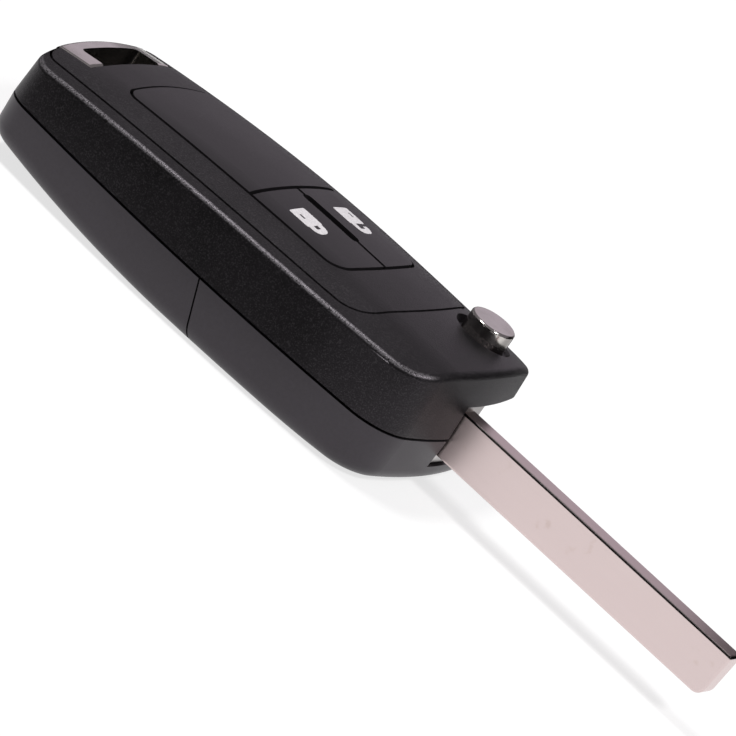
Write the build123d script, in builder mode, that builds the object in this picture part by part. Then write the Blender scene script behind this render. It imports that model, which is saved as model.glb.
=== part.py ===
from build123d import *
import os
from math import asin, degrees, radians, tan

# Flip key for a car, with its blade open. Millimetres. +X points to the blade's tip, +Y to the
# side that the blade folds into and +Z to the buttons. The origin is on the surface that the key
# lies on, under the middle of its length with the blade open.

# Case, seen from above
case_length = 71.2
case_width = 37.3
side_bow = 280.0
end_bow = 62.0
ring_bow = 72.0
ring_skew = 0.45
end_corner = 7.0
ring_corner = 4.8

# Case, seen from the side and in section
case_thickness = 18.3
seam_height = 7.9
seam_gap = 0.35
wall = 1.8
front_draft = 7.5
end_draft = 3.0
back_draft = 3.0
crease_radius = 0.9
belly_edge = 2.2
belly_flat_start = 17.0
belly_flat_length = 17.0
belly_end_bow = 200.0
belly_ring_bow = 290.0
piece_gap = 0.15

# Domed top: bows along the key, then the arcs across it
crown_setback = 28.0
crown_end_bow = 900.0
crown_ring_bow = 275.0
crown_radius = 90.0
crown_turn = 5.0
shoulder_radius = 24.0
shoulder_turn = 12.0
flank_length = 12.0

# Face panel let into the top, and the inlay and buttons let into the panel
panel_inset = 3.4
panel_end_setback = 12.8
panel_ring_setback = 0.9
panel_end_corner = 4.6
panel_ring_corner = 2.5
panel_thickness = 1.3
panel_gap = 0.35
panel_lift = 0.05
ledge_width = 1.6
ledge_thickness = 1.2
pad_inset = 7.7
pad_ring_setback = 11.7
pad_end_setback = 20.5
pad_ring_corner = 2.2
pad_end_corner = 3.2
pad_depth = 1.0
pad_floor = 1.2
pad_border = 1.0
pad_gap = 0.3
pad_end_gap = 0.45
pad_proud = 0.1
divider_setback = 36.9
finger_groove_width = 1.7
finger_groove_start = 25.8
finger_groove_end = 35.5
button_travel = 0.4
button_flange = 0.7
button_flange_thickness = 0.6
button_foot_drop = 4.1

# Blade and the pivot that it folds about
blade_length = 46.2
blade_width = 6.74
blade_thickness = 3.1
blade_offset = 0.15
blade_height = 8.4
blade_edge = 0.35
tip_slant = 0.6
tip_lower_corner = 1.4
tip_upper_corner = 0.4
pivot_setback = 7.85
fold_inset = 3.1
tang_width = 4.4
tang_length = 9.2
release_radius = 3.17
release_proud = 2.25
release_dish = 1.7
dish_gap = 0.5
dish_slope = 32.0
release_edge = 0.35
release_travel = 2.0
running_fit = 0.08

# Hub that carries the blade
barrel_radius = 5.0
arm_lap = 0.9
arm_reach = 0.8
arm_low = 3.5
arm_high = 12.6
slot_floor = 3.3
slot_ceiling = 12.8
slot_side_gap = 0.5
hub_end_gap = 0.2
journal_radius = 4.4
journal_depth = 1.3
lug_radius = 4.3
lug_width = 1.4
lug_height = 2.3
lug_clearance = 0.1
pin_radius = 0.8
pin_bore = 0.45
pin_setback = 3.6
spring_radius = 2.7
spring_wire = 0.35
spring_turns = 4.5
spring_post_radius = 2.1
spring_post_height = 4.96
pin_fit = 0.03
tang_fit = 0.03
tang_end_gap = 0.15

# Far-side groove that takes the folded blade
groove_gap = 0.45
groove_wall = 1.4

# Ring end
loop_half_width = 9.9
loop_bar = 2.2
loop_leg = 3.0
loop_low = 4.5
loop_edge = 0.5
loop_corner = 0.8
notch_depth = 6.4
notch_wall = 1.2
loop_foot_height = 3.6
loop_foot_length = 2.4
loop_hook = 1.4
loop_hook_thickness = 1.0

# Slanted seam between the back shell and the battery cover
cover_setback = 32.9
cover_slant = 20.0
cover_gap = 0.25
tongue_inset = 1.05
tongue_height = 1.2

# Board bay
bay_end_setback = 18.0
tray_low = 7.2
tray_thickness = 1.0
tray_gap = 0.2
board_thickness = 1.0
board_ring_setback = 9.0
post_radius = 1.4
peg_radius = 0.6
switch_size = 4.6
switch_height = 1.4
plunger_radius = 1.0
plunger_gap = 0.08
switch_offset = 5.2
mat_thickness = 0.8
mat_drop = 0.5
mat_height = 2.9
mat_skirt = 0.9
mat_border = 1.1
mat_nub_radius = 1.3
mat_nub_height = 0.12

# Coin cell and its contacts
cell_radius = 10.0
cell_thickness = 3.2
cell_ring_setback = 19.7
cell_gap = 0.2
cell_cup_wall = 1.0
strap_thickness = 0.3
strap_width = 4.0
leaf_thickness = 0.25
leaf_length = 13.0
leaf_width = 4.0

# Case screws
screw_gap = 3.7
screw_side_gap = 1.7
screw_boss_radius = 2.1
screw_boss_height = 4.2
screw_radius = 0.75
screw_head_radius = 1.35
screw_head_height = 1.2
screw_length = 6.0
ear_thickness = 1.6

# Transponder pocket beside the hub
pocket_wall = 2.1
pocket_near_wall = 1.6
chip_length = 9.5
chip_width = 5.0
chip_height = 3.0
chip_seat_height = 3.4
chip_setback = 10.1
chip_side_gap = 6.05

# Transmitter chip
radio_side = 5.0
radio_thickness = 0.9
radio_edge = 0.22

# Places worked out from the sizes above
end_x = (case_length - blade_length) / 2
ring_x = end_x - case_length
mid_x = end_x - case_length / 2
crown_x = end_x - crown_setback
pivot_x = end_x - pivot_setback
fold_y = case_width / 2 - fold_inset
pivot_y = (fold_y + blade_offset) / 2
fold_tip_x = 2 * pivot_x - end_x - blade_length
groove_y = fold_y - blade_thickness / 2 - groove_gap
bay_far_y = groove_y - groove_wall
bay_end_x = end_x - bay_end_setback
notch_x = ring_x + notch_depth
bay_ring_x = notch_x + notch_wall
divider_x = end_x - divider_setback
cell_x = ring_x + cell_ring_setback
cell_y = (bay_far_y + wall - case_width / 2) / 2
cell_low = tray_low - leaf_thickness - cell_thickness
tray_top = tray_low + tray_thickness
button_foot = case_thickness - button_foot_drop
mat_top = button_foot - mat_drop
mat_low = mat_top - mat_thickness
board_top = mat_top - mat_height
board_low = board_top - board_thickness
pivot_drop = (pivot_x - crown_x) ** 2 / (2 * crown_end_bow) + pivot_y**2 / (2 * crown_radius)
pivot_top = case_thickness - pivot_drop
switch_x = end_x - (divider_setback + pad_end_setback) / 2
screw_x = divider_x - screw_gap
screw_near_y = wall + screw_side_gap - case_width / 2
screw_far_y = bay_far_y - screw_side_gap
screw_spots = [(screw_x, screw_near_y), (screw_x, screw_far_y)]
chip_y = pocket_wall + chip_side_gap + piece_gap - case_width / 2
far_out = case_width
tall = 2 * case_thickness


def half_width(x, inset=0.0):
    """Half of the case's width at x, less inset."""
    return case_width / 2 - (x - mid_x) ** 2 / (2 * side_bow) - inset


def plan(low_x, high_x, inset, low_corner, high_corner):
    """Plan shape whose bowed sides and bulged ends run beside the case's outline."""
    low_half = half_width(low_x, inset)
    high_half = half_width(high_x, inset)
    near_low_x = low_x + low_half**2 / (2 * ring_bow) - ring_skew
    far_low_x = near_low_x + 2 * ring_skew
    high_side_x = high_x - high_half**2 / (2 * end_bow)
    middle_x = (low_x + high_x) / 2
    middle_half = half_width(middle_x, inset)
    with BuildSketch() as shape:
        with BuildLine():
            ThreePointArc((near_low_x, -low_half), (middle_x, -middle_half), (high_side_x, -high_half))
            ThreePointArc((high_side_x, -high_half), (high_x, 0), (high_side_x, high_half))
            ThreePointArc((high_side_x, high_half), (middle_x, middle_half), (far_low_x, low_half))
            ThreePointArc((far_low_x, low_half), (low_x, 0), (near_low_x, -low_half))
        make_face()
        fillet(shape.vertices().sort_by(Axis.X)[:2], low_corner)
        fillet(shape.vertices().sort_by(Axis.X)[-2:], high_corner)
    return shape.sketch


def case_plan(inset, end_inset=None):
    """The case's outline, set in by inset all round, or by end_inset at its two ends."""
    end_in = inset if end_inset is None else end_inset
    return plan(ring_x + end_in, end_x - end_in, inset, ring_corner - inset, end_corner - inset)


def drafted(low, rise, draft):
    """The case's outline at height low, drawn in by the draft over the rise (up or down)."""
    with BuildPart() as body:
        with BuildSketch(Plane.XY.offset(low)):
            add(case_plan(0))
        with BuildSketch(Plane.XY.offset(low + rise)):
            side_in = abs(rise) * tan(radians(draft))
            end_in = abs(rise) * tan(radians(min(draft, end_draft)))
            add(case_plan(side_in, end_in))
        loft(ruled=True)
    return body.part


def crown(lift):
    """All that lies under the domed top, raised by lift."""
    top = case_thickness + lift
    with BuildPart() as dome:
        for bow, reach, side in (
            (crown_end_bow, end_x + wall - crown_x, 1),
            (crown_ring_bow, crown_x - ring_x + wall, -1),
        ):
            with BuildSketch(Plane.YZ.offset(crown_x)) as section:
                with BuildLine():
                    arc = JernArc((0, top), (1, 0), crown_radius, -crown_turn)
                    shoulder = JernArc(arc @ 1, arc % 1, shoulder_radius, -shoulder_turn)
                    flank = PolarLine(shoulder @ 1, flank_length, direction=shoulder % 1)
                    Polyline(flank @ 1, ((flank @ 1).X, -wall), (0, -wall), (0, top))
                make_face()
                mirror(about=Plane.YZ)
            hinge = Axis((crown_x, 0, top - bow), (0, side, 0))
            revolve(axis=hinge, revolution_arc=degrees(asin(reach / bow)))
    return dome.part


def belly(lift):
    """All that lies above the bowed underside, raised by lift."""
    flat_end = end_x - belly_flat_start
    flat_ring = flat_end - belly_flat_length
    end_turn = degrees(asin((end_x + wall - flat_end) / belly_end_bow))
    ring_turn = degrees(asin((flat_ring - ring_x + wall) / belly_ring_bow))
    with BuildPart() as body:
        with BuildSketch(Plane.XZ):
            with BuildLine():
                end_rise = JernArc((flat_end, lift), (1, 0), belly_end_bow, end_turn)
                Line((flat_end, lift), (flat_ring, lift))
                ring_rise = JernArc((flat_ring, lift), (-1, 0), belly_ring_bow, -ring_turn)
                Polyline(end_rise @ 1, ((end_rise @ 1).X, tall), ((ring_rise @ 1).X, tall), ring_rise @ 1)
            make_face()
        extrude(amount=far_out, both=True)
    return body.part


def rim(solid, facing):
    """Edges between the faces that look up (facing 1) or down (-1) and the side walls."""
    level = solid.faces().filter_by(lambda face: face.normal_at().Z * facing > 0.75)
    side = solid.faces().filter_by(lambda face: abs(face.normal_at().Z) < 0.5)
    return level.edges() & side.edges()


os.makedirs("parts", exist_ok=True)

# Outer form of the front half: drafted side band, domed top, softened crease
with BuildPart() as front_form:
    add(drafted(seam_height, case_thickness, front_draft))
    add(crown(0), mode=Mode.INTERSECT)
    fillet(rim(front_form, 1), crease_radius)

# Outer form of the back half: drafted side, bowed underside, rounded lower edge
with BuildPart() as back_form:
    add(drafted(seam_height - seam_gap, -seam_height, back_draft))
    add(belly(0), mode=Mode.INTERSECT)
    fillet(rim(back_form, -1), belly_edge)

# Board bay, through both halves
with BuildPart() as bay_space:
    with BuildSketch():
        add(case_plan(wall))
        with Locations(((bay_ring_x + bay_end_x) / 2, (bay_far_y - far_out) / 2)):
            Rectangle(bay_end_x - bay_ring_x, bay_far_y + far_out, mode=Mode.INTERSECT)
    extrude(amount=tall)
    add(crown(-panel_thickness - ledge_thickness), mode=Mode.INTERSECT)
    add(belly(wall), mode=Mode.INTERSECT)

# Slot that the hub turns in, open at the blade end and along the far side
slot_near_y = blade_offset - blade_thickness / 2 - slot_side_gap
slot_back_x = pivot_x - barrel_radius - slot_side_gap
arm_length = pivot_setback - arm_reach
arm_side = pivot_y - barrel_radius + arm_lap
folded_back_x = pivot_x - arm_length - slot_side_gap
folded_near_y = 2 * pivot_y - arm_side - slot_side_gap
with BuildPart() as hub_space:
    with BuildSketch(Plane.XY.offset(slot_floor)):
        with BuildLine():
            Polyline(
                (slot_back_x, slot_near_y),
                (end_x + far_out, slot_near_y),
                (end_x + far_out, far_out),
                (folded_back_x, far_out),
                (folded_back_x, folded_near_y),
                (slot_back_x, folded_near_y),
                close=True,
            )
        make_face()
    extrude(amount=slot_ceiling - slot_floor)

# Groove for the folded blade
with BuildPart() as groove_space:
    groove_length = pivot_x - fold_tip_x + groove_gap
    groove_height = blade_width + 2 * groove_gap
    with Locations((pivot_x - groove_length / 2, (groove_y + far_out) / 2, blade_height)):
        Box(groove_length, far_out - groove_y, groove_height)

# Notch at the ring end that the loop stands in
with BuildPart() as notch_space:
    with BuildSketch():
        with Locations((notch_x - notch_depth, 0)):
            Rectangle(2 * notch_depth, 2 * (loop_half_width + piece_gap))
    extrude(amount=tall)

# Pocket beside the hub for the transponder
with BuildPart() as pocket_space:
    with BuildSketch():
        add(case_plan(pocket_wall))
        pocket_back_x = bay_end_x + pocket_near_wall
        pocket_far_y = slot_near_y - pocket_near_wall
        with Locations(((pocket_back_x + end_x) / 2, (pocket_far_y - far_out) / 2)):
            Rectangle(end_x - pocket_back_x, pocket_far_y + far_out, mode=Mode.INTERSECT)
    extrude(amount=tall)
    add(crown(-pocket_wall), mode=Mode.INTERSECT)
    add(belly(pocket_wall), mode=Mode.INTERSECT)

# All of the back half that belongs to the battery cover
cover_top_x = end_x - cover_setback
cover_run = tan(radians(cover_slant))
with BuildPart() as cover_zone:
    with BuildSketch(Plane.XZ):
        with BuildLine():
            Polyline(
                (cover_top_x - (tall - seam_height) * cover_run, tall),
                (cover_top_x + seam_height * cover_run, 0),
                (ring_x - wall, 0),
                (ring_x - wall, tall),
                close=True,
            )
        make_face()
    extrude(amount=far_out, both=True)

panel_end_x = end_x - panel_end_setback
panel_ring_x = ring_x + panel_ring_setback


def panel_plan(grow):
    """The face panel's outline, grown by grow."""
    return plan(
        panel_ring_x - grow,
        panel_end_x + grow,
        panel_inset - grow,
        panel_ring_corner + grow,
        panel_end_corner + grow,
    )


pad_ring_x = ring_x + pad_ring_setback
pad_end_x = end_x - pad_end_setback


def pad_plan(grow, end_grow=None):
    """Outline of the inlay and buttons together, grown by grow, or by end_grow at its ends."""
    end_out = grow if end_grow is None else end_grow
    return plan(
        pad_ring_x - end_out,
        pad_end_x + end_out,
        pad_inset - grow,
        max(pad_ring_corner + grow, pad_gap),
        max(pad_end_corner + grow, pad_gap),
    )


# Front shell
with BuildPart() as front_shell:
    add(front_form.part)
    # Seat for the panel, and the window inside its ledge
    with BuildSketch(Plane.XY.offset(seam_height)):
        add(panel_plan(panel_gap))
    panel_seat = extrude(amount=tall, mode=Mode.PRIVATE)
    add(panel_seat - crown(-panel_thickness), mode=Mode.SUBTRACT)
    add(bay_space.part, mode=Mode.SUBTRACT)
    with BuildSketch(Plane.XY.offset(seam_height)):
        add(panel_plan(-ledge_width))
        with Locations(((bay_ring_x + bay_end_x) / 2, 0)):
            Rectangle(bay_end_x - bay_ring_x, 2 * bay_far_y, mode=Mode.INTERSECT)
    extrude(amount=tall, mode=Mode.SUBTRACT)
    for space in (hub_space, groove_space, notch_space, pocket_space):
        add(space.part, mode=Mode.SUBTRACT)
    # Bore and latch notches for the release button
    with BuildSketch(Plane.XY.offset(slot_ceiling)):
        with Locations((pivot_x, pivot_y)):
            Circle(release_radius + running_fit)
    extrude(amount=tall, mode=Mode.SUBTRACT)
    with BuildSketch(Plane.XY.offset(slot_ceiling)):
        with Locations((pivot_x, pivot_y)):
            Rectangle(2 * (lug_radius + lug_clearance), lug_width + 2 * lug_clearance)
    extrude(amount=lug_width / 2, mode=Mode.SUBTRACT)
    # Shallow dish round it
    with BuildSketch(Plane.XY.offset(pivot_top - release_dish / 2)):
        with Locations((pivot_x, pivot_y)):
            Circle(release_radius + dish_gap)
    extrude(amount=release_dish, taper=-dish_slope, mode=Mode.SUBTRACT)
    # Slots in the ring-end wall for the loop's feet
    with BuildSketch(Plane.XY.offset(seam_height)):
        for side in (-1, 1):
            with Locations((notch_x, side * (loop_half_width - loop_leg / 2))):
                Rectangle(2 * loop_foot_length, loop_leg + 2 * piece_gap)
    extrude(amount=tray_top + loop_foot_height + piece_gap - seam_height, mode=Mode.SUBTRACT)
    # Screw bosses, each with a web to the wall beside it
    with BuildSketch(Plane.XY.offset(tray_top)):
        with Locations(screw_spots):
            Circle(screw_boss_radius)
        near_web = -half_width(screw_x, wall) - screw_near_y
        far_web = bay_far_y - screw_far_y
        for (x, y), web in zip(screw_spots, (near_web, far_web)):
            with Locations((x, y + web / 2)):
                Rectangle(2 * screw_boss_radius, abs(web) + piece_gap)
    extrude(amount=screw_boss_height)
    with BuildSketch(Plane.XY.offset(tray_top)):
        with Locations(screw_spots):
            Circle(screw_radius + piece_gap / 2)
    extrude(amount=screw_boss_height - ledge_thickness / 2, mode=Mode.SUBTRACT)
    # Rib that keeps the transponder down
    with BuildSketch(Plane.XY.offset(chip_seat_height + chip_height + piece_gap)):
        with Locations((end_x - chip_setback, chip_y)):
            Rectangle(chip_length / 2, wall)
    extrude(amount=case_thickness - pocket_wall - chip_seat_height - chip_height)
    # Rabbet that takes the tongues of the back half
    with BuildSketch(Plane.XY.offset(seam_height)):
        add(case_plan(tongue_inset - piece_gap))
        add(case_plan(wall + piece_gap), mode=Mode.SUBTRACT)
        with Locations(((bay_ring_x + bay_end_x) / 2, -far_out + pad_inset)):
            Rectangle(bay_end_x - bay_ring_x, far_out, mode=Mode.INTERSECT)
    extrude(amount=tongue_height + piece_gap, mode=Mode.SUBTRACT)
front_shell.part.label = "front_shell"
export_step(front_shell.part, "parts/front_shell.step")

# Back shell: lower half at the blade end
with BuildPart() as back_shell:
    add(back_form.part)
    with Locations((cover_gap, 0, 0)):
        add(cover_zone.part, mode=Mode.SUBTRACT)
    for space in (bay_space, hub_space, groove_space, pocket_space):
        add(space.part, mode=Mode.SUBTRACT)
    # Bore for the hub's journal, with the post that centres the spring
    with BuildSketch(Plane.XY.offset(slot_floor)):
        with Locations((pivot_x, pivot_y)):
            Circle(journal_radius + running_fit)
    extrude(amount=-journal_depth - hub_end_gap, mode=Mode.SUBTRACT)
    with BuildSketch(Plane.XY.offset(slot_floor - journal_depth - hub_end_gap)):
        with Locations((pivot_x, pivot_y)):
            Circle(spring_post_radius)
    extrude(amount=spring_post_height)
    # Seat for the transponder
    with BuildSketch(Plane.XY.offset(wall)):
        with Locations((end_x - chip_setback, chip_y)):
            Rectangle(chip_length - wall, chip_width - wall)
    extrude(amount=chip_seat_height - wall)
    # Tongue along the near side
    tongue_low = seam_height - 2 * seam_gap
    back_tongue_x = cover_top_x + 4 * cover_gap
    with BuildSketch(Plane.XY.offset(tongue_low)):
        add(case_plan(tongue_inset))
        add(case_plan(wall), mode=Mode.SUBTRACT)
        with Locations(((back_tongue_x + bay_end_x - piece_gap) / 2, -far_out + pad_inset - wall)):
            Rectangle(bay_end_x - piece_gap - back_tongue_x, far_out, mode=Mode.INTERSECT)
    extrude(amount=seam_height + tongue_height - tongue_low)
    # Ears that reach under the battery cover to the case screws
    ear_ring_x = screw_x - screw_boss_radius
    ear_end_x = cover_top_x + 4 * wall
    with BuildSketch(Plane.XY.offset(tray_low - ear_thickness)):
        near_low_y = -half_width(screw_x, wall) + piece_gap
        near_high_y = screw_near_y + screw_head_radius + piece_gap
        far_low_y = screw_far_y - screw_head_radius - piece_gap
        far_high_y = bay_far_y - piece_gap
        for low_y, high_y in ((near_low_y, near_high_y), (far_low_y, far_high_y)):
            with Locations(((ear_ring_x + ear_end_x) / 2, (low_y + high_y) / 2)):
                Rectangle(ear_end_x - ear_ring_x, high_y - low_y)
        # The ears' roots, run into the walls beyond the cover's edge
        root_ring_x = cover_top_x + wall
        for root_y in (near_low_y, far_high_y):
            with Locations(((root_ring_x + ear_end_x) / 2, root_y)):
                Rectangle(ear_end_x - root_ring_x, wall)
        with Locations(screw_spots):
            Circle(screw_radius + piece_gap / 2, mode=Mode.SUBTRACT)
    extrude(amount=ear_thickness)
back_shell.part.label = "back_shell"
export_step(back_shell.part, "parts/back_shell.step")

# Battery cover: lower half at the ring end
with BuildPart() as battery_cover:
    add(back_form.part)
    add(cover_zone.part, mode=Mode.INTERSECT)
    for space in (bay_space, groove_space, notch_space):
        add(space.part, mode=Mode.SUBTRACT)
    cover_tongue_x = cover_top_x - 2 * cover_gap
    with BuildSketch(Plane.XY.offset(tongue_low)):
        add(case_plan(tongue_inset))
        add(case_plan(wall), mode=Mode.SUBTRACT)
        with Locations(((cover_tongue_x + bay_ring_x + piece_gap) / 2, -far_out + pad_inset - wall)):
            Rectangle(cover_tongue_x - piece_gap - bay_ring_x, far_out, mode=Mode.INTERSECT)
    extrude(amount=seam_height + tongue_height - tongue_low)
    # Ring that keeps the cell's strap up
    with BuildSketch(Plane.XY.offset(wall)):
        with Locations((cell_x, cell_y)):
            Circle(cell_radius - 2 * cell_cup_wall)
            Circle(cell_radius - 3 * cell_cup_wall, mode=Mode.SUBTRACT)
    extrude(amount=cell_low - strap_thickness - cell_gap - wall)
battery_cover.part.label = "battery_cover"
export_step(battery_cover.part, "parts/battery_cover.step")

# Face panel: domed plate with a tray for the inlay and a window for the buttons
with BuildPart() as face_panel:
    with BuildSketch(Plane.XY.offset(seam_height)):
        add(panel_plan(0))
    extrude(amount=tall)
    add(crown(0), mode=Mode.INTERSECT)
    add(crown(-panel_thickness + panel_lift), mode=Mode.SUBTRACT)
    # Deeper border round the inlay and buttons
    with BuildSketch(Plane.XY.offset(seam_height)):
        add(pad_plan(pad_border))
    border = extrude(amount=tall, mode=Mode.PRIVATE)
    add((border & crown(-panel_thickness / 2)) - crown(-pad_depth - pad_floor))
    with BuildSketch(Plane.XY.offset(seam_height)):
        add(pad_plan(0))
    inlay_seat = extrude(amount=tall, mode=Mode.PRIVATE)
    add(inlay_seat - crown(-pad_depth), mode=Mode.SUBTRACT)
    with BuildSketch(Plane.XY.offset(seam_height)):
        add(pad_plan(0))
        with Locations(((divider_x + end_x) / 2, 0)):
            Rectangle(end_x - divider_x, far_out, mode=Mode.INTERSECT)
    extrude(amount=tall, mode=Mode.SUBTRACT)
    add(notch_space.part, mode=Mode.SUBTRACT)
face_panel.part.label = "face_panel"
export_step(face_panel.part, "parts/face_panel.step")

# Blank inlay at the ring end of the panel
with BuildPart() as blank_pad:
    with BuildSketch(Plane.XY.offset(seam_height)):
        add(pad_plan(-pad_gap, -pad_end_gap))
        with Locations(((ring_x + divider_x - pad_gap) / 2, 0)):
            Rectangle(divider_x - pad_gap - ring_x, far_out, mode=Mode.INTERSECT)
    extrude(amount=tall)
    add(crown(pad_proud), mode=Mode.INTERSECT)
    add(crown(-pad_depth), mode=Mode.SUBTRACT)
blank_pad.part.label = "blank_pad"
export_step(blank_pad.part, "parts/blank_pad.step")


def push_button(side):
    """Push button on one side of the middle: cap, and a flange that keeps it under the panel."""
    with BuildPart() as button:
        with BuildSketch(Plane.XY.offset(button_foot)) as cap:
            add(pad_plan(-pad_gap, -pad_end_gap))
            with Locations(((divider_x + pad_gap + end_x) / 2, side * (pad_gap + far_out) / 2)):
                Rectangle(end_x - divider_x - pad_gap, far_out - pad_gap, mode=Mode.INTERSECT)
            groove_middle_x = end_x - (finger_groove_start + finger_groove_end) / 2
            with Locations((groove_middle_x, 0)):
                SlotOverall(
                    finger_groove_end - finger_groove_start,
                    finger_groove_width,
                    mode=Mode.SUBTRACT,
                )
        extrude(amount=tall)
        add(crown(pad_proud), mode=Mode.INTERSECT)
        with BuildSketch(Plane.XY.offset(button_foot)):
            add(pad_plan(button_flange))
            with Locations(((divider_x - button_flange + end_x) / 2, side * (pad_gap + far_out) / 2)):
                Rectangle(end_x - divider_x + button_flange, far_out - pad_gap, mode=Mode.INTERSECT)
        extrude(amount=button_flange_thickness)
    return button


lock_button = push_button(-1)
lock_button.part.label = "lock_button"
export_step(lock_button.part, "parts/lock_button.step")

unlock_button = push_button(1)
unlock_button.part.label = "unlock_button"
export_step(unlock_button.part, "parts/unlock_button.step")

# Rubber mat: sheet, skirt that stands on the board, and a nub over each switch
with BuildPart() as keypad_membrane:
    mat_x = (divider_x + pad_end_x) / 2
    mat_length = pad_end_x - divider_x + 2 * mat_border
    mat_width = 2 * (half_width(mat_x, pad_inset) + mat_border)
    with BuildSketch(Plane.XY.offset(board_top)):
        with Locations((mat_x, 0)):
            RectangleRounded(mat_length, mat_width, pad_end_corner)
    extrude(amount=mat_height)
    with BuildSketch(Plane.XY.offset(board_top)):
        with Locations((mat_x, 0)):
            RectangleRounded(mat_length - 2 * mat_skirt, mat_width - 2 * mat_skirt, pad_ring_corner)
    extrude(amount=mat_low - board_top, mode=Mode.SUBTRACT)
    with BuildSketch(Plane.XY.offset(mat_low)):
        with Locations((switch_x, -switch_offset), (switch_x, switch_offset)):
            Circle(mat_nub_radius)
    extrude(amount=-mat_nub_height)
keypad_membrane.part.label = "keypad_membrane"
export_step(keypad_membrane.part, "parts/keypad_membrane.step")

# Circuit board, notched round the screw bosses and holed for the tray's pegs
post_spots = [
    (x, y)
    for x in (cell_x - cell_radius + peg_radius, bay_end_x - 2 * post_radius)
    for y in (cell_y - cell_radius, bay_far_y - 2 * post_radius)
]
with BuildPart() as circuit_board:
    with BuildSketch(Plane.XY.offset(board_low)):
        add(case_plan(wall + 2 * tray_gap))
        board_ring_x = ring_x + board_ring_setback
        board_end_x = bay_end_x - tray_gap
        board_far_y = bay_far_y - tray_gap
        with Locations(((board_ring_x + board_end_x) / 2, (board_far_y - far_out) / 2)):
            Rectangle(board_end_x - board_ring_x, board_far_y + far_out, mode=Mode.INTERSECT)
        with Locations(screw_spots):
            Circle(screw_boss_radius + tray_gap, mode=Mode.SUBTRACT)
        for x, y in screw_spots:
            with Locations((x, y + (screw_boss_radius if y > 0 else -screw_boss_radius))):
                Rectangle(2 * (screw_boss_radius + tray_gap), 2 * screw_boss_radius, mode=Mode.SUBTRACT)
        with Locations(post_spots):
            Circle(peg_radius + running_fit, mode=Mode.SUBTRACT)
    extrude(amount=board_thickness)
circuit_board.part.label = "circuit_board"
export_step(circuit_board.part, "parts/circuit_board.step")


def push_switch(y):
    """Push switch on the board, with its plunger up."""
    with BuildPart() as switch:
        with BuildSketch(Plane.XY.offset(board_top)):
            with Locations((switch_x, y)):
                RectangleRounded(switch_size, switch_size, peg_radius)
        extrude(amount=switch_height)
        with BuildSketch(Plane.XY.offset(board_top + switch_height)):
            with Locations((switch_x, y)):
                Circle(plunger_radius)
        extrude(amount=mat_low - mat_nub_height - plunger_gap - board_top - switch_height)
    return switch


lock_switch = push_switch(-switch_offset)
lock_switch.part.label = "lock_switch"
export_step(lock_switch.part, "parts/lock_switch.step")

unlock_switch = push_switch(switch_offset)
unlock_switch.part.label = "unlock_switch"
export_step(unlock_switch.part, "parts/unlock_switch.step")

# Transmitter chip on the board, over the cell
with BuildPart() as radio_chip:
    with BuildSketch(Plane.XY.offset(board_top)):
        with Locations((cell_x, cell_y)):
            Rectangle(radio_side, radio_side)
    extrude(amount=radio_thickness)
    chamfer(radio_chip.faces().sort_by(Axis.Z)[-1].edges(), radio_edge)
radio_chip.part.label = "radio_chip"
export_step(radio_chip.part, "parts/radio_chip.step")

# Tray: plate screwed between the halves, cup for the cell below, posts for the board above
with BuildPart() as board_tray:
    with BuildSketch(Plane.XY.offset(tray_low)):
        add(case_plan(wall + tray_gap))
        tray_ring_x = bay_ring_x + tray_gap
        tray_end_x = bay_end_x - tray_gap
        tray_far_y = bay_far_y - tray_gap
        with Locations(((tray_ring_x + tray_end_x) / 2, (tray_far_y - far_out) / 2)):
            Rectangle(tray_end_x - tray_ring_x, tray_far_y + far_out, mode=Mode.INTERSECT)
        with Locations(screw_spots):
            Circle(screw_radius + piece_gap / 2, mode=Mode.SUBTRACT)
    extrude(amount=tray_thickness)
    with BuildSketch(Plane.XY.offset(cell_low + piece_gap)):
        with Locations((cell_x, cell_y)):
            Circle(cell_radius + cell_gap + cell_cup_wall)
            Circle(cell_radius + cell_gap, mode=Mode.SUBTRACT)
    extrude(amount=tray_low - cell_low - piece_gap)
    # Slots for the strap's legs and the leaf's tab
    strap_leg_y = cell_radius + cell_gap + strap_thickness / 2
    with BuildSketch(Plane.XY.offset(cell_low)):
        with Locations((cell_x, cell_y - strap_leg_y), (cell_x, cell_y + strap_leg_y)):
            Rectangle(strap_width + 2 * piece_gap, strap_thickness + 2 * piece_gap)
    extrude(amount=tray_top - cell_low, mode=Mode.SUBTRACT)
    with BuildSketch(Plane.XY.offset(tray_low)):
        with Locations((cell_x + leaf_length / 2, cell_y)):
            Rectangle(leaf_thickness + 2 * piece_gap, leaf_width + 2 * piece_gap)
    extrude(amount=tray_thickness, mode=Mode.SUBTRACT)
    with BuildSketch(Plane.XY.offset(tray_top)):
        with Locations(post_spots):
            Circle(post_radius)
    extrude(amount=board_low - tray_top)
    with BuildSketch(Plane.XY.offset(board_low)):
        with Locations(post_spots):
            Circle(peg_radius)
    extrude(amount=board_thickness)
board_tray.part.label = "board_tray"
export_step(board_tray.part, "parts/board_tray.step")

# Coin cell, with the step between its can and its cap
with BuildPart() as coin_cell:
    with BuildSketch(Plane.XY.offset(cell_low)):
        with Locations((cell_x, cell_y)):
            Circle(cell_radius)
    extrude(amount=cell_thickness)
    chamfer(coin_cell.edges().filter_by(GeomType.CIRCLE).sort_by(Axis.Z)[0], cell_gap)
    with BuildSketch(Plane.XY.offset(cell_low + cell_thickness)):
        with Locations((cell_x, cell_y)):
            Circle(cell_radius)
            Circle(cell_radius - cell_cup_wall, mode=Mode.SUBTRACT)
    extrude(amount=-cell_gap, mode=Mode.SUBTRACT)
coin_cell.part.label = "coin_cell"
export_step(coin_cell.part, "parts/coin_cell.step")

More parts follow.
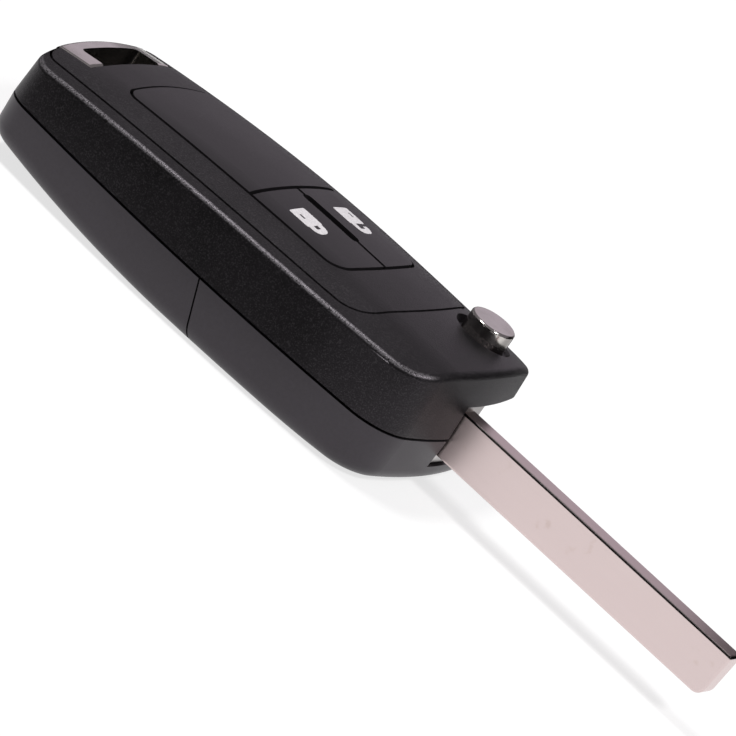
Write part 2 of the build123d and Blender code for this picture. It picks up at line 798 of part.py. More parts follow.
# Strap under the cell, bent up at both ends to the board
with BuildPart() as cell_clip:
    strap_low = cell_low - strap_thickness
    strap_out = strap_leg_y + strap_thickness / 2
    with BuildSketch(Plane.YZ.offset(cell_x)):
        with BuildLine():
            FilletPolyline(
                (cell_y - strap_out, board_low),
                (cell_y - strap_out, strap_low),
                (cell_y + strap_out, strap_low),
                (cell_y + strap_out, board_low),
                radius=2 * strap_thickness,
            )
            strap_in = strap_out - strap_thickness
            FilletPolyline(
                (cell_y - strap_in, board_low),
                (cell_y - strap_in, cell_low),
                (cell_y + strap_in, cell_low),
                (cell_y + strap_in, board_low),
                radius=strap_thickness,
            )
            Line((cell_y - strap_out, board_low), (cell_y - strap_in, board_low))
            Line((cell_y + strap_out, board_low), (cell_y + strap_in, board_low))
        make_face()
    extrude(amount=strap_width / 2, both=True)
cell_clip.part.label = "cell_clip"
export_step(cell_clip.part, "parts/cell_clip.step")

# Leaf on top of the cell, with a tab up to the board
with BuildPart() as cell_contact:
    with BuildSketch(Plane.XY.offset(tray_low - leaf_thickness)):
        with Locations((cell_x, cell_y)):
            Rectangle(leaf_length + leaf_thickness, leaf_width)
    extrude(amount=leaf_thickness)
    with BuildSketch(Plane.XY.offset(tray_low - leaf_thickness)):
        with Locations((cell_x + leaf_length / 2, cell_y)):
            Rectangle(leaf_thickness, leaf_width)
    extrude(amount=board_low - tray_low + leaf_thickness)
cell_contact.part.label = "cell_contact"
export_step(cell_contact.part, "parts/cell_contact.step")

# Case screws
screw_head_low = tray_low - ear_thickness - screw_head_height
with BuildPart() as case_screws:
    with BuildSketch(Plane.XY.offset(screw_head_low)):
        with Locations(screw_spots):
            Circle(screw_head_radius)
    extrude(amount=screw_head_height)
    with BuildSketch(Plane.XY.offset(screw_head_low + screw_head_height)):
        with Locations(screw_spots):
            Circle(screw_radius)
    extrude(amount=screw_length)
    with BuildSketch(Plane.XY.offset(screw_head_low)):
        for angle in (0, 90):
            with Locations([Location((x, y, 0), (0, 0, angle)) for x, y in screw_spots]):
                Rectangle(screw_head_radius, screw_radius / 2)
    extrude(amount=screw_head_height / 2, mode=Mode.SUBTRACT)
case_screws.part.label = "case_screws"
export_step(case_screws.part, "parts/case_screws.step")

# Transponder on its seat in the back shell
with BuildPart() as transponder:
    with BuildSketch(Plane.XY.offset(chip_seat_height)):
        with Locations((end_x - chip_setback, chip_y)):
            RectangleRounded(chip_length, chip_width, peg_radius)
    extrude(amount=chip_height)
transponder.part.label = "transponder"
export_step(transponder.part, "parts/transponder.step")

# Key loop: bar across the ring end, two legs, and hooked feet behind the ring-end wall
with BuildPart() as key_loop:
    add(drafted(seam_height, case_thickness, front_draft))
    add(crown(0), mode=Mode.INTERSECT)
    add(drafted(seam_height, loop_low - seam_height, back_draft))
    with Locations((notch_x - notch_depth + piece_gap / 2, 0, 0)):
        Box(2 * notch_depth - 3 * piece_gap, 2 * loop_half_width, 2 * tall, mode=Mode.INTERSECT)
    fillet(rim(key_loop, 1) + rim(key_loop, -1), loop_edge)
    # Opening for the key ring
    with BuildSketch():
        opening_low_x = ring_x + loop_bar
        with Locations(((opening_low_x + end_x) / 2, 0)):
            RectangleRounded(end_x - opening_low_x, 2 * (loop_half_width - loop_leg), loop_corner)
    extrude(amount=tall, mode=Mode.SUBTRACT)
    # Feet
    with BuildSketch(Plane.XY.offset(tray_top)):
        for side in (-1, 1):
            leg_y = side * (loop_half_width - loop_leg / 2)
            foot_low_x = notch_x - 2 * piece_gap
            foot_high_x = notch_x + loop_foot_length
            with Locations(((foot_low_x + foot_high_x) / 2, leg_y)):
                Rectangle(foot_high_x - foot_low_x, loop_leg)
            hook_x = foot_high_x - loop_hook_thickness / 2
            with Locations((hook_x, leg_y + side * loop_hook / 2)):
                Rectangle(loop_hook_thickness, loop_leg + loop_hook)
    extrude(amount=loop_foot_height)
key_loop.part.label = "key_loop"
export_step(key_loop.part, "parts/key_loop.step")

# Blade: blank with square shoulders, one corner of the tip rounded, and a narrow tang
with BuildPart() as key_blade:
    with BuildSketch(Plane.XZ.offset(-blade_offset)) as wide_face:
        shoulder_x = end_x - arm_reach + piece_gap
        tip_x = end_x + blade_length
        blade_high = blade_height + blade_width / 2
        blade_low = blade_height - blade_width / 2
        with BuildLine():
            Polyline(
                (shoulder_x, blade_low),
                (tip_x - tip_slant, blade_low),
                (tip_x, blade_high),
                (shoulder_x, blade_high),
                close=True,
            )
        make_face()
        fillet(wide_face.vertices().sort_by(Axis.X)[-1], tip_upper_corner)
        low_corners = wide_face.vertices().filter_by(lambda corner: corner.Y < blade_height)
        fillet(low_corners.sort_by(Axis.X)[-1], tip_lower_corner)
        with Locations((shoulder_x - tang_length / 2, blade_height)):
            Rectangle(tang_length, tang_width)
    extrude(amount=blade_thickness / 2, both=True)
    outer_faces = key_blade.faces().filter_by(Axis.Y)
    long_edges = outer_faces.edges().filter_by(lambda edge: edge.center().X > end_x)
    fillet(long_edges, blade_edge)
    with BuildSketch(Plane.XZ.offset(far_out)):
        with Locations((end_x - pin_setback, blade_height)):
            Circle(pin_radius + pin_fit)
    extrude(amount=-2 * far_out, mode=Mode.SUBTRACT)
key_blade.part.label = "key_blade"
export_step(key_blade.part, "parts/key_blade.step")

# Hub: barrel on the pivot, arm that holds the tang, journal below
near_face_y = blade_offset - blade_thickness / 2
with BuildPart() as blade_hub:
    with BuildSketch(Plane.XY.offset(arm_low)):
        # The arm's ring-end corner is struck from the pivot, so it clears the slot's near side
        with Locations((pivot_x, pivot_y)):
            Circle(pivot_y - near_face_y)
        arm_end_x = end_x - arm_reach
        with Locations(((pivot_x - barrel_radius + arm_end_x) / 2, (near_face_y + arm_side) / 2)):
            Rectangle(arm_end_x - pivot_x + barrel_radius, arm_side - near_face_y, mode=Mode.INTERSECT)
        with Locations(((pivot_x + arm_end_x) / 2, (near_face_y + arm_side) / 2)):
            Rectangle(arm_end_x - pivot_x, arm_side - near_face_y)
    extrude(amount=arm_high - arm_low)
    with BuildSketch(Plane.XY.offset(arm_low)):
        with Locations((pivot_x, pivot_y)):
            Circle(barrel_radius)
    extrude(amount=slot_ceiling - hub_end_gap - arm_low)
    with BuildSketch(Plane.XY.offset(arm_low)):
        with Locations((pivot_x, pivot_y)):
            Circle(journal_radius)
    extrude(amount=-journal_depth)
    with BuildSketch():
        with Locations((pivot_x, pivot_y)):
            Circle(release_radius + running_fit)
    extrude(amount=tall, mode=Mode.SUBTRACT)
    # Keyways for the release button's lugs
    lug_high = slot_ceiling - 2 * hub_end_gap
    keyway_low = lug_high - lug_height - release_travel - lug_clearance
    with BuildSketch(Plane.XY.offset(keyway_low)):
        with Locations((pivot_x, pivot_y)):
            Rectangle(2 * (lug_radius + lug_clearance), lug_width + 2 * lug_clearance)
    extrude(amount=tall, mode=Mode.SUBTRACT)
    # Seat for the tang, open on the near side, and the pin's hole
    with BuildSketch(Plane.XZ.offset(-near_face_y)):
        seat_back_x = shoulder_x - tang_length - tang_end_gap
        with Locations(((seat_back_x + end_x) / 2, blade_height)):
            Rectangle(end_x - seat_back_x, tang_width + 2 * tang_fit)
    extrude(amount=-blade_thickness - tang_fit, mode=Mode.SUBTRACT)
    with BuildSketch(Plane.XZ.offset(far_out)):
        with Locations((end_x - pin_setback, blade_height)):
            Circle(pin_radius + pin_fit)
    extrude(amount=-far_out - arm_side + arm_lap / 2, mode=Mode.SUBTRACT)
blade_hub.part.label = "blade_hub"
export_step(blade_hub.part, "parts/blade_hub.step")

# Roll pin through the tang
with BuildPart() as blade_pin:
    with BuildSketch(Plane.XZ.offset(-near_face_y)):
        with Locations((end_x - pin_setback, blade_height)):
            Circle(pin_radius)
            Circle(pin_bore, mode=Mode.SUBTRACT)
        with Locations((end_x - pin_setback, blade_height + pin_radius)):
            Rectangle(pin_bore / 2, 2 * pin_radius, mode=Mode.SUBTRACT)
    extrude(amount=near_face_y - arm_side + arm_lap / 2)
blade_pin.part.label = "blade_pin"
export_step(blade_pin.part, "parts/blade_pin.step")

# Release button: round cap with two lugs that ride in the hub's keyways
release_low = lug_high - lug_height - lug_clearance
release_high = pivot_top + release_proud
with BuildPart() as release_button:
    with BuildSketch(Plane.XY.offset(release_low)):
        with Locations((pivot_x, pivot_y)):
            Circle(release_radius)
    extrude(amount=release_high - release_low)
    fillet(release_button.faces().sort_by(Axis.Z)[-1].edges(), release_edge)
    with BuildSketch(Plane.XY.offset(lug_high - lug_height)):
        with Locations((pivot_x, pivot_y)):
            Rectangle(2 * lug_radius, lug_width)
    extrude(amount=lug_height)
release_button.part.label = "release_button"
export_step(release_button.part, "parts/release_button.step")

# Coil spring round the post, under the release button
spring_low = slot_floor - journal_depth - hub_end_gap + spring_wire + lug_clearance
spring_height = release_low - spring_low - spring_wire - lug_clearance
with BuildPart() as flip_spring:
    with BuildLine():
        coil_pitch = spring_height / spring_turns
        coil_foot = (pivot_x, pivot_y, spring_low)
        coil = Helix(coil_pitch, spring_height, spring_radius, center=coil_foot)
    with BuildSketch(Plane(origin=coil @ 0, z_dir=coil % 0)):
        RegularPolygon(spring_wire, 6)
    sweep(is_frenet=True)
flip_spring.part.label = "flip_spring"
export_step(flip_spring.part, "parts/flip_spring.step")
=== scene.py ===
import math

import bmesh
import bpy
from mathutils import Matrix, Vector


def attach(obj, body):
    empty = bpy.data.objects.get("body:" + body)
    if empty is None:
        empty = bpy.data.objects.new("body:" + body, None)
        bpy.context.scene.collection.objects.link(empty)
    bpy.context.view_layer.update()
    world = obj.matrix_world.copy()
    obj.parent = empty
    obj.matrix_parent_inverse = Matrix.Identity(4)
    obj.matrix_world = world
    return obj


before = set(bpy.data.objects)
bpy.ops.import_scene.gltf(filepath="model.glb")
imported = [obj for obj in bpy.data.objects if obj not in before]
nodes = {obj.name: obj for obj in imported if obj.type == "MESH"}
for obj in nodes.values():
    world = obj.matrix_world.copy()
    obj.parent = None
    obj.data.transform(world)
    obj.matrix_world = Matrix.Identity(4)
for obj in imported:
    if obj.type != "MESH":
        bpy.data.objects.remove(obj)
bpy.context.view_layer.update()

# Camera: a long lens that looks down on the blade end and the near side, rolled so that the
# key runs from the upper left of the picture to the lower right, as in the photograph. Colours
# go to the picture unchanged, so white stays white.
mm = 0.001
lens_width = 36.0
view_angle = math.radians(5.784)
farthest_seen = 10.0
camera_place = (315.62 * mm, -795.07 * mm, 305.7 * mm)
camera_right = Vector((0.6889600, 0.4797897, 0.5432642))
camera_up = Vector((-0.6342741, 0.0363755, 0.7722520))
camera_back = Vector((0.3507570, -0.8766292, 0.3293794))
camera_data = bpy.data.cameras.new("camera")
camera_data.sensor_width = lens_width
camera_data.lens = lens_width / (2 * math.tan(view_angle / 2))
camera_data.clip_end = farthest_seen
camera = bpy.data.objects.new("camera", camera_data)
turned = Matrix((camera_right, camera_up, camera_back)).transposed().to_4x4()
camera.matrix_world = Matrix.Translation(camera_place) @ turned
bpy.context.scene.collection.objects.link(camera)
bpy.context.scene.camera = camera
bpy.context.scene.view_settings.view_transform = "Standard"


# Studio: a plain white floor that glows a little under an even pale sky, a broad lamp low behind
# the key, and two small ones overhead that draw the light line along its upper edge. Cards that
# only reflections see keep the side, the end and the top of the case dark.
class Field:
    """A number or colour that varies over a surface. Arithmetic on it adds Math nodes."""

    def __init__(self, tree, socket):
        self.tree = tree
        self.socket = socket

    def add(self, kind, settings, sockets, output=0):
        """Adds a node: first its settings, then the values or links of its sockets."""
        node = self.tree.nodes.new(kind)
        for name, value in settings.items():
            setattr(node, name, value)
        for name, value in sockets.items():
            if isinstance(value, Field):
                self.tree.links.new(value.socket, node.inputs[name])
            else:
                node.inputs[name].default_value = value
        return Field(self.tree, node.outputs[output])

    def maths(self, operation, *values):
        """A Math node on those values, which are fields or numbers."""
        return self.add("ShaderNodeMath", {"operation": operation}, dict(enumerate(values)))

    def __add__(self, other):
        return self.maths("ADD", self, other)

    def __sub__(self, other):
        return self.maths("SUBTRACT", self, other)

    def __mul__(self, other):
        return self.maths("MULTIPLY", self, other)

    def __rsub__(self, other):
        return self.maths("SUBTRACT", other, self)

    __radd__ = __add__
    __rmul__ = __mul__

    def clamp(self, low, high):
        """0 below low, 1 above high, smooth between."""
        sockets = {"Value": self, "From Min": low, "From Max": high}
        return self.add("ShaderNodeMapRange", {"interpolation_type": "SMOOTHSTEP"}, sockets)

    def noise(self, size, detail=2.0, roughness=0.5, stretch=(1.0, 1.0, 1.0)):
        """Noise with features of about that size in metres, drawn out along an axis by stretch."""
        scaled = self.add("ShaderNodeVectorMath", {"operation": "DIVIDE"}, {0: self, 1: stretch})
        sockets = {"Vector": scaled, "Scale": 1 / size, "Detail": detail, "Roughness": roughness}
        return self.add("ShaderNodeTexNoise", {}, sockets)

    def facing(self, axis):
        """How squarely the surface faces along an axis of the object: 1 along, -1 against it."""
        normal = self.add("ShaderNodeTexCoord", {}, {}, output="Normal")
        return normal.add("ShaderNodeSeparateXYZ", {}, {"Vector": normal}, output=axis)

    def mix(self, low, high):
        """Colour low where this field is 0, and high where it is 1."""
        low_socket, high_socket, mixed_socket = 6, 7, 2
        low, high = (side if isinstance(side, Field) else (*side, 1.0) for side in (low, high))
        sockets = {"Factor": self, low_socket: low, high_socket: high}
        return self.add("ShaderNodeMix", {"data_type": "RGBA"}, sockets, output=mixed_socket)

    def bump(self, height):
        """Normal for this field taken as a relief of that height in metres."""
        return self.add("ShaderNodeBump", {}, {"Strength": 1.0, "Distance": height, "Height": self})


def finish(name, **fixed):
    """A new material with the fixed sockets of its shader set: the material, its shader and
    the object's own coordinates."""
    material = bpy.data.materials.new(name)
    material.use_nodes = True
    tree = material.node_tree
    shader = tree.nodes["Principled BSDF"]
    for socket, value in fixed.items():
        shader.inputs[socket.replace("_", " ")].default_value = value
    place = Field(tree, tree.nodes.new("ShaderNodeTexCoord").outputs["Object"])
    return material, shader, place


def feed(shader, **fields):
    """Links fields to the shader's sockets."""
    for socket, field in fields.items():
        field.tree.links.new(field.socket, shader.inputs[socket.replace("_", " ")])


def matt_paint(name, dark, light):
    """Paint without gloss for a card, between two greys."""
    paint, shader, place = finish(name, Roughness=0.9, Specular_IOR_Level=0.0)
    feed(shader, Base_Color=place.noise(20 * mm).mix((dark, dark, dark), (light, light, light)))
    return paint


def card(name, paint, middle, size, turn):
    """A card that only reflections see."""
    bpy.ops.object.select_all(action="DESELECT")
    bpy.ops.mesh.primitive_plane_add(size=1, location=middle, rotation=turn)
    sheet = bpy.context.object
    sheet.name = name
    sheet.scale = (*size, 1)
    bpy.ops.object.transform_apply(location=True, rotation=True, scale=True)
    sheet.data.materials.append(paint)
    sheet.visible_camera = False
    sheet.visible_shadow = False
    sheet.visible_diffuse = False


def soft_lamp(name, place, aim, size, watts):
    """A rectangular area lamp that faces aim."""
    lamp = bpy.data.objects.new(name, bpy.data.lights.new(name, "AREA"))
    lamp.data.shape = "RECTANGLE"
    lamp.data.size, lamp.data.size_y = size
    lamp.data.energy = watts
    lamp.location = place
    lamp.rotation_euler = (Vector(aim) - Vector(place)).to_track_quat("-Z", "Y").to_euler()
    bpy.context.scene.collection.objects.link(lamp)
    return lamp


floor_size = 3.0
floor_drop = 0.02 * mm
floor_dark = (0.3, 0.3, 0.3)
floor_light = (0.32, 0.32, 0.32)
bpy.ops.object.select_all(action="DESELECT")
bpy.ops.mesh.primitive_plane_add(size=floor_size, location=(0, 0, -floor_drop))
floor = bpy.context.object
floor.name = "floor"
floor_paint, floor_shader, floor_place = finish(
    "floor_paint",
    Roughness=0.8,
    Specular_IOR_Level=0.1,
    Emission_Color=(1, 1, 1, 1),
    Emission_Strength=0.72,
)
feed(floor_shader, Base_Color=floor_place.noise(400 * mm).mix(floor_dark, floor_light))
floor.data.materials.append(floor_paint)

upright = (math.pi / 2, 0, 0)
lying = (0, 0, 0)
black_paint = matt_paint("black_paint", 0.01, 0.014)
grey_paint = matt_paint("grey_paint", 0.5, 0.52)
card("case_card", black_paint, (-127 * mm, -38 * mm, 24 * mm), (246 * mm, 48 * mm), upright)
card("blade_card", black_paint, (54 * mm, -38 * mm, 31 * mm), (102 * mm, 38 * mm), upright)
card("end_card", black_paint, (100 * mm, 100 * mm, 45 * mm), (160 * mm, 90 * mm), upright)
card("floor_card", black_paint, (-190 * mm, 140 * mm, 0.5 * mm), (400 * mm, 220 * mm), lying)
card("grey_card", grey_paint, (37 * mm, 60 * mm, 0.5 * mm), (44 * mm, 90 * mm), lying)

sky_colour = (1.0, 0.93, 1.0, 1.0)
sky_strength = 0.2
world = bpy.data.worlds.new("studio")
world.use_nodes = True
sky = world.node_tree.nodes["Background"].inputs
sky["Color"].default_value = sky_colour
sky["Strength"].default_value = sky_strength
bpy.context.scene.world = world

lamp_aim = (-50 * mm, 0, 0)
soft_lamp("ring_side", (-0.54, -0.13, 1.31), lamp_aim, size=(0.35, 0.25), watts=10.0)
soft_lamp("blade_side", (0.75, -0.25, 1.05), lamp_aim, size=(0.3, 0.3), watts=9.0)
behind = soft_lamp("behind", (-0.42, 1.07, 0.4), lamp_aim, size=(0.65, 0.5), watts=0.42)
behind.data.color = (1.0, 0.87, 1.0)


# Case halves: injection-moulded ABS. The front half carries a fine spark-eroded grain, flecked
# with painted glints, pale specks, on its sloping faces; its two long upper edges are rubbed
# smoother and painted pale, partly wear and partly a painted highlight. The back half and battery
# cover are smoother.
plastic_tint = (1.0, 0.9, 1.0, 1.0)
mottle_size = 9 * mm
mottle_dulling = 0.12
grain_dulling = 0.1
painted_glint_size = 0.2 * mm
level_upward = (0.965, 0.985)  # from sloping to level, as the normal's share along Z
edge_upward = (0.35, 0.6)  # from side to upper edge, along Z
edge_sideward = (0.33, 0.5)  # from top to upper edge, along Y


def warm_grey(value):
    """A grey of that brightness with a little less green."""
    return (value, value * 0.95, value)


def moulded(name, dark, light, roughness, grain, relief, gloss, painted_glint=0.0, rub_and_painted_highlight=0.0):
    """Moulded plastic: grain of that size and relief, with faint mottling in colour and gloss.
    Its sloping faces get painted glints, pale specks in the grain, and the edges between side and
    top are rubbed: smoother, and painted pale, partly as wear and partly as a painted highlight."""
    material, shader, place = finish(name, Specular_IOR_Level=gloss, Specular_Tint=plastic_tint)
    fine = place.noise(grain, detail=2.0, roughness=0.6)
    broad = place.noise(mottle_size, detail=3.0)
    colour = (fine * 0.5 + broad * 0.5).clamp(0.3, 0.7).mix(dark, light)
    sheen = roughness - (mottle_dulling + grain_dulling) / 2
    dulled = broad * mottle_dulling + fine * grain_dulling + sheen
    upward = place.facing("Z")
    if painted_glint:
        # Painted glints: pale specks of colour on sloping faces, standing in for light the grain
        # catches.
        painted_glint_specks = place.noise(painted_glint_size, detail=1.0, roughness=0.6).clamp(0.5, 0.7)
        sloping = 1 - upward.clamp(*level_upward)
        colour = (painted_glint_specks * sloping).mix(colour, warm_grey(painted_glint))
    if rub_and_painted_highlight:
        # Rubbed upper edges: smoother, and painted pale, partly wear and partly a painted
        # highlight.
        sideward = place.facing("Y")
        leaning = sideward.maths("ABSOLUTE", sideward).clamp(*edge_sideward)
        edge = upward.clamp(*edge_upward) * leaning
        colour = (edge * fine.clamp(0.3, 0.6)).mix(colour, warm_grey(rub_and_painted_highlight))
        dulled = dulled - edge * rub_and_painted_highlight
    feed(shader, Base_Color=colour, Roughness=dulled, Normal=fine.bump(relief))
    return material


def dress(material, *names):
    """Gives a material to every slot of those CAD nodes."""
    for name in names:
        for held in nodes[name].material_slots:
            held.material = material


shell_black = moulded(
    "shell_black",
    dark=(0.003, 0.003, 0.003),
    light=(0.007, 0.0065, 0.007),
    roughness=0.4,
    grain=0.22 * mm,
    relief=0.045 * mm,
    gloss=0.33,
    painted_glint=0.022,
    rub_and_painted_highlight=0.11,
)
shell_grey = moulded(
    "shell_grey",
    dark=(0.018, 0.017, 0.018),
    light=(0.026, 0.024, 0.027),
    roughness=0.38,
    grain=0.5 * mm,
    relief=0.004 * mm,
    gloss=0.5,
)
dress(shell_black, "front_shell")
dress(shell_grey, "back_shell", "battery_cover")

# Face panel, inlay and buttons: the same plastic with a softer, drier finish. The panel is
# grained as the front half is; the inlay and buttons are nearly smooth.
panel_black = moulded(
    "panel_black",
    dark=(0.004, 0.004, 0.004),
    light=(0.008, 0.0075, 0.008),
    roughness=0.44,
    grain=0.22 * mm,
    relief=0.04 * mm,
    gloss=0.36,
    painted_glint=0.03,
)
pad_black = moulded(
    "pad_black",
    dark=(0.01, 0.0095, 0.01),
    light=(0.014, 0.013, 0.014),
    roughness=0.46,
    grain=0.3 * mm,
    relief=0.004 * mm,
    gloss=0.4,
)
dress(panel_black, "face_panel")
dress(pad_black, "blank_pad", "lock_button", "unlock_button")

# Key loop and release button: cast zinc, polished and plated with bright chrome, with a faint
# haze from handling. The loop's feet are let into the front half, and the button stands in the
# hub on the spring.
clean_chrome = (0.56, 0.535, 0.51)
hazy_chrome = (0.48, 0.46, 0.43)
chrome_polish = 0.12
haze_dulling = 0.1
chrome, chrome_shader, chrome_place = finish("chrome", Metallic=1.0)
haze = chrome_place.noise(4 * mm, detail=4.0).clamp(0.35, 0.75)
feed(
    chrome_shader,
    Base_Color=haze.mix(clean_chrome, hazy_chrome),
    Roughness=haze * haze_dulling + chrome_polish,
)
dress(chrome, "key_loop", "release_button")

# Blade: a milled brass blank under satin nickel, with a fine lengthwise grain and a few faint
# warm stains. Its broken edges are painted near black: a painted dark reflection along them.
clean_nickel = (0.69, 0.575, 0.565)
stained_nickel = (0.54, 0.41, 0.34)
painted_dark_reflection = (0.02, 0.018, 0.018)
nickel_satin = 0.26
stain_strength = 0.25
stain_dulling = 0.05
drawn_dulling = 0.12
drawn_relief = 0.0012 * mm
nickel, nickel_shader, nickel_place = finish("nickel", Metallic=1.0)
drawn = nickel_place.noise(0.12 * mm, roughness=0.6, stretch=(60.0, 1.0, 1.0))
stain = nickel_place.noise(2.5 * mm, detail=3.0).clamp(0.66, 0.78)
plated = (stain * stain_strength).mix(clean_nickel, stained_nickel)
blade_upward = nickel_place.facing("Z")
# Painted dark reflection: the bevels between the top and the wide faces are painted near black.
painted_reflection_edges = blade_upward.clamp(0.1, 0.25) * (1 - blade_upward.clamp(0.85, 0.97))
feed(
    nickel_shader,
    Base_Color=painted_reflection_edges.mix(plated, painted_dark_reflection),
    Roughness=drawn * drawn_dulling + stain * stain_dulling + nickel_satin,
    Normal=drawn.bump(drawn_relief),
)
dress(nickel, "key_blade")

# Hub, pin, spring and screws: the head that carries the blade, the roll pin through the blade's
# tang, the coil spring round the pivot and the two case screws. They are bare steel and zinc,
# tumbled to a dull satin.
steel_dark = (0.5, 0.48, 0.47)
steel_light = (0.66, 0.64, 0.63)
steel_satin = 0.25
tumbled_dulling = 0.2
tumbled_relief = 0.006 * mm
steel, steel_shader, steel_place = finish("steel", Metallic=1.0)
tumbled = steel_place.noise(0.5 * mm, detail=4.0, roughness=0.7)
feed(
    steel_shader,
    Base_Color=tumbled.mix(steel_dark, steel_light),
    Roughness=tumbled * tumbled_dulling + steel_satin,
    Normal=tumbled.bump(tumbled_relief),
)
dress(steel, "blade_hub", "blade_pin", "flip_spring", "case_screws")

# Keypad mat, electronic packages and board tray: a moulded rubber mat under the buttons, black
# epoxy round the switches and chips, and a plain moulded frame that carries the board.
rubber = moulded(
    "rubber",
    dark=(0.03, 0.03, 0.032),
    light=(0.045, 0.045, 0.047),
    roughness=0.75,
    grain=0.6 * mm,
    relief=0.006 * mm,
    gloss=0.3,
)
package = moulded(
    "package",
    dark=(0.012, 0.012, 0.013),
    light=(0.02, 0.02, 0.021),
    roughness=0.5,
    grain=0.15 * mm,
    relief=0.004 * mm,
    gloss=0.5,
)
tray_plastic = moulded(
    "tray_plastic",
    dark=(0.02, 0.02, 0.021),
    light=(0.03, 0.03, 0.032),
    roughness=0.45,
    grain=0.5 * mm,
    relief=0.004 * mm,
    gloss=0.5,
)
dress(rubber, "keypad_membrane")
dress(package, "lock_switch", "unlock_switch", "radio_chip", "transponder")
dress(tray_plastic, "board_tray")

# Circuit board: glass-fibre laminate under green solder mask, which lies a little proud and
# paler over the copper tracks.
bare_mask = (0.01, 0.09, 0.035)
track_mask = (0.025, 0.15, 0.055)
mask_gloss = 0.25
track_dulling = 0.1
track_pitch = 0.08
track_relief = 0.02 * mm
mask, mask_shader, mask_place = finish("solder_mask", Specular_IOR_Level=0.6)
contour = mask_place.noise(2.2 * mm, detail=0.0, roughness=0.0, stretch=(3.0, 1.0, 1.0))
track = contour.maths("PINGPONG", contour, track_pitch).clamp(0.03, 0.04)
feed(
    mask_shader,
    Base_Color=track.mix(bare_mask, track_mask),
    Roughness=track * track_dulling + mask_gloss,
    Normal=track.bump(track_relief),
)
dress(mask, "circuit_board")

# Coin cell and its two contacts: rolled stainless steel and nickel-plated strip, with fine
# rolling lines across the key.
rolled_dark = (0.62, 0.6, 0.57)
rolled_light = (0.76, 0.74, 0.7)
rolled_satin = 0.2
rolled_dulling = 0.15
sheet_metal, sheet_shader, sheet_place = finish("sheet_metal", Metallic=1.0)
rolled = sheet_place.noise(0.1 * mm, roughness=0.6, stretch=(1.0, 40.0, 1.0))
feed(
    sheet_shader,
    Base_Color=rolled.mix(rolled_dark, rolled_light),
    Roughness=rolled * rolled_dulling + rolled_satin,
)
dress(sheet_metal, "coin_cell", "cell_clip", "cell_contact")

# Padlock signs: pad-printed in white on the two buttons, closed on the near one and open on the
# far one. Each is cut flat, laid on its button's domed top and given the ink's thickness.
worn_ink = (0.62, 0.6, 0.61)
fresh_ink = (0.78, 0.76, 0.77)
ink, ink_shader, ink_place = finish("white_ink", Roughness=0.5)
wear = ink_place.noise(0.3 * mm, detail=3.0, roughness=0.6).clamp(0.3, 0.7)
feed(ink_shader, Base_Color=wear.mix(worn_ink, fresh_ink))

sign_height = 25 * mm
stroke = 1.0 * mm
bend = 1.2 * mm
bend_steps = 6
body_corner = 0.3 * mm
corner_steps = 3
slit_width = 0.36 * mm
ink_lift = 0.015 * mm
ink_thickness = 0.03 * mm
facet = 0.5 * mm
place_slack = 0.04 * mm
merge_gap = 0.001 * mm


def flat_plate(low, high):
    """A flat rectangle above the buttons, in edit mode with all of it selected."""
    bpy.ops.object.select_all(action="DESELECT")
    middle = ((low[0] + high[0]) / 2, (low[1] + high[1]) / 2, sign_height)
    bpy.ops.mesh.primitive_plane_add(size=1, location=middle)
    plate = bpy.context.object
    plate.scale = (high[0] - low[0], high[1] - low[1], 1)
    bpy.ops.object.transform_apply(location=True, rotation=True, scale=True)
    bpy.ops.object.mode_set(mode="EDIT")
    return plate


def pick(plate, kind, test):
    """Selects only the edges or faces whose middle passes the test."""
    bpy.ops.mesh.select_mode(type=kind)
    bpy.ops.mesh.select_all(action="DESELECT")
    shape = bmesh.from_edit_mesh(plate.data)
    for part in shape.edges if kind == "EDGE" else shape.faces:
        if kind == "EDGE":
            middle = (part.verts[0].co + part.verts[1].co) / 2
        else:
            middle = part.calc_center_median()
        if test(middle):
            part.select_set(True)
    bmesh.update_edit_mesh(plate.data)


def cut_across(place, along):
    """Cuts the whole plate along the plane at that place."""
    bpy.ops.mesh.select_all(action="SELECT")
    bpy.ops.mesh.bisect(plane_co=place, plane_no=along, threshold=merge_gap)


def lock_body(ring_x, joint_x, middle_y, half, slit):
    """The body, with round corners and a slit for the key: its two ends along X, and its Y."""
    block = flat_plate((ring_x, middle_y - half), (joint_x, middle_y + half))
    bpy.ops.mesh.bevel(offset=body_corner, segments=corner_steps, affect="VERTICES")
    slit_low_x, slit_high_x, slit_y = slit
    for x in (slit_low_x, slit_high_x):
        cut_across((x, 0, 0), (1, 0, 0))
    for y in (slit_y - slit_width / 2, slit_y + slit_width / 2):
        cut_across((0, y, 0), (0, 1, 0))
    slit_middle = Vector(((slit_low_x + slit_high_x) / 2, slit_y, sign_height))
    pick(block, "FACE", lambda middle: (middle - slit_middle).length < slit_width / 2)
    bpy.ops.mesh.delete(type="FACE")
    bpy.ops.object.mode_set(mode="OBJECT")
    return block


def lock_bow(joint_x, bow_x, middle_y, half, lifted):
    """The bow: one leg, two round bends, and a leg that ends that far from the body."""
    near_y = middle_y - half
    bend_x = bow_x - bend
    across = 2 * (half - bend)
    back = joint_x + lifted - bend_x
    near_bend = (bend_x, near_y + bend, sign_height)
    far_bend = (bend_x, near_y + bend + across, sign_height)
    quarter = {"steps": bend_steps, "angle": math.pi / 2, "axis": (0, 0, -1)}
    bow = flat_plate((joint_x, near_y), (bend_x, near_y + stroke))
    pick(bow, "EDGE", lambda middle: middle.x > bend_x - place_slack)
    bpy.ops.mesh.spin(center=near_bend, **quarter)
    bpy.ops.mesh.extrude_region_move(TRANSFORM_OT_translate={"value": (0, across, 0)})
    bpy.ops.mesh.spin(center=far_bend, **quarter)
    bpy.ops.mesh.extrude_region_move(TRANSFORM_OT_translate={"value": (back, 0, 0)})
    bpy.ops.object.mode_set(mode="OBJECT")
    return bow


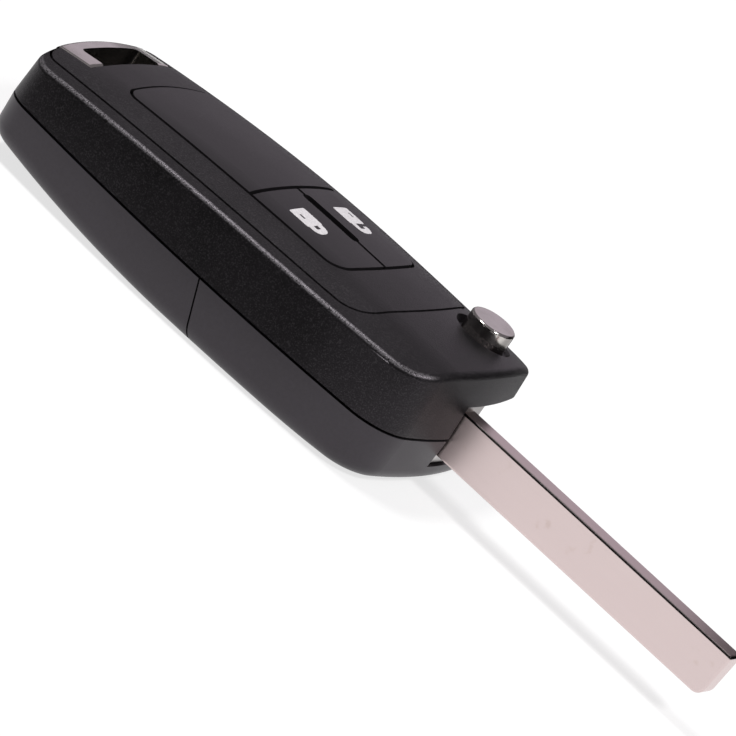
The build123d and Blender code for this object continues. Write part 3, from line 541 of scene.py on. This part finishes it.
def padlock(
    name, button, body, ring_x, joint_x, bow_x, middle_y, body_half, bow_half, slit, lifted=0.0
):
    """A padlock that lies along X: body from ring_x to joint_x, bow out to bow_x."""
    sign = lock_body(ring_x, joint_x, middle_y, body_half, slit)
    bow = lock_bow(joint_x, bow_x, middle_y, bow_half, lifted)
    bpy.ops.object.select_all(action="DESELECT")
    bow.select_set(True)
    sign.select_set(True)
    bpy.context.view_layer.objects.active = sign
    bpy.ops.object.join()
    sign.name = name

    bpy.ops.object.mode_set(mode="EDIT")
    for step in range(1, int((bow_x - ring_x) / facet)):
        cut_across((ring_x + step * facet, 0, 0), (1, 0, 0))
    near_y, far_y = middle_y - bow_half, middle_y + bow_half
    for y in (near_y, near_y + stroke, far_y - stroke, far_y):
        cut_across((0, y, 0), (0, 1, 0))
    for step in range(1, int(2 * body_half / facet)):
        cut_across((0, middle_y - body_half + step * facet, 0), (0, 1, 0))
    bpy.ops.mesh.select_all(action="SELECT")
    bpy.ops.mesh.remove_doubles(threshold=merge_gap)
    bpy.ops.mesh.normals_make_consistent(inside=False)
    bpy.ops.object.mode_set(mode="OBJECT")
    if sum(face.normal.z for face in sign.data.polygons) < 0:
        sign.data.flip_normals()

    laid = sign.modifiers.new("laid", "SHRINKWRAP")
    laid.target = nodes[button]
    laid.wrap_method = "PROJECT"
    laid.use_project_z = True
    laid.use_negative_direction = True
    laid.use_positive_direction = False
    laid.offset = ink_lift
    bpy.ops.object.modifier_apply(modifier="laid")
    skin = sign.modifiers.new("skin", "SOLIDIFY")
    skin.thickness = ink_thickness
    skin.offset = -1
    bpy.ops.object.modifier_apply(modifier="skin")
    sign.data.materials.append(ink)
    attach(sign, body)


padlock(
    "closed_padlock",
    "lock_button",
    "lock",
    ring_x=-20.35 * mm,
    joint_x=-16.9 * mm,
    bow_x=-15.2 * mm,
    middle_y=-5.65 * mm,
    body_half=1.75 * mm,
    bow_half=1.45 * mm,
    slit=(-19.3 * mm, -18.4 * mm, -6.15 * mm),
)
padlock(
    "open_padlock",
    "unlock_button",
    "unlock",
    ring_x=-20.3 * mm,
    joint_x=-17.0 * mm,
    bow_x=-14.95 * mm,
    middle_y=5.35 * mm,
    body_half=1.9 * mm,
    bow_half=1.6 * mm,
    slit=(-19.25 * mm, -18.35 * mm, 6.2 * mm),
    lifted=0.55 * mm,
)
